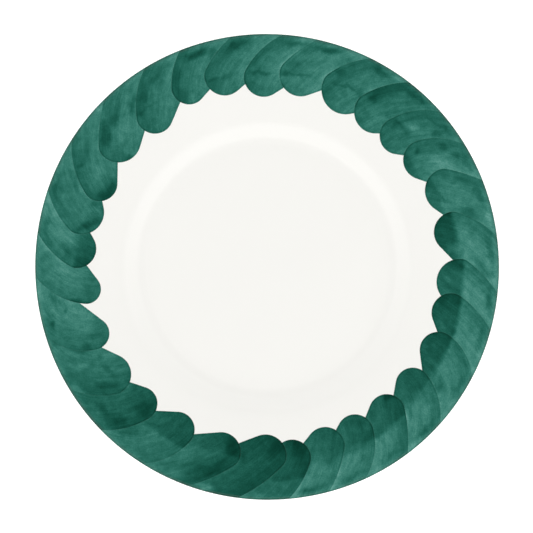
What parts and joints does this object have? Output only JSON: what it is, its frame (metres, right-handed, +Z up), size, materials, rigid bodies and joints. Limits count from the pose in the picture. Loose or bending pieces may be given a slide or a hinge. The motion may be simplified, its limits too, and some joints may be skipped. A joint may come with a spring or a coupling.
{
  "type": "dinner plate",
  "caption": "Rimmed round dinner plate in white-glazed ceramic, with a shallow well, a foot ring and a border of overlapping hand-brushed green strokes.",
  "frame": {"origin": "centre of the foot ring's standing face, on the surface that the plate stands on", "axes": "+Z up, out of the face of the plate, along its axis of symmetry; +Y towards the top of the plate as pictured, +X to the right"},
  "size_m": [0.2802, 0.2802, 0.0227],
  "materials": {
    "bisque": "matte unglazed fired clay",
    "white_glaze": "glossy, warm white",
    "copper_green_light": "glossy, thin uneven wash of green with brush marks",
    "copper_green": "glossy, uneven wash of green with brush marks",
    "copper_green_dark": "glossy, thick uneven wash of dark green with brush marks"
  },
  "bodies": {
    "root": {"bisque_body": "bisque", "glaze_coat": "white_glaze", "foot_recess_glaze": "white_glaze", "brush_stroke_01": "copper_green", "brush_stroke_02": "copper_green", "brush_stroke_03": "copper_green_dark", "brush_stroke_04": "copper_green", "brush_stroke_05": "copper_green", "brush_stroke_06": "copper_green_light", "brush_stroke_07": "copper_green", "brush_stroke_08": "copper_green_dark", "brush_stroke_09": "copper_green_light", "brush_stroke_10": "copper_green", "brush_stroke_11": "copper_green", "brush_stroke_12": "copper_green", "brush_stroke_13": "copper_green", "brush_stroke_14": "copper_green", "brush_stroke_15": "copper_green_light", "brush_stroke_16": "copper_green_dark", "brush_stroke_17": "copper_green_dark", "brush_stroke_18": "copper_green_dark", "brush_stroke_19": "copper_green_light", "brush_stroke_20": "copper_green_dark", "brush_stroke_21": "copper_green", "brush_stroke_22": "copper_green_light", "brush_stroke_23": "copper_green_light", "brush_stroke_24": "copper_green", "brush_stroke_25": "copper_green_light", "brush_stroke_26": "copper_green_light", "brush_stroke_27": "copper_green", "brush_stroke_28": "copper_green", "brush_stroke_29": "copper_green_light", "brush_stroke_30": "copper_green"}
  },
  "joints": []
}
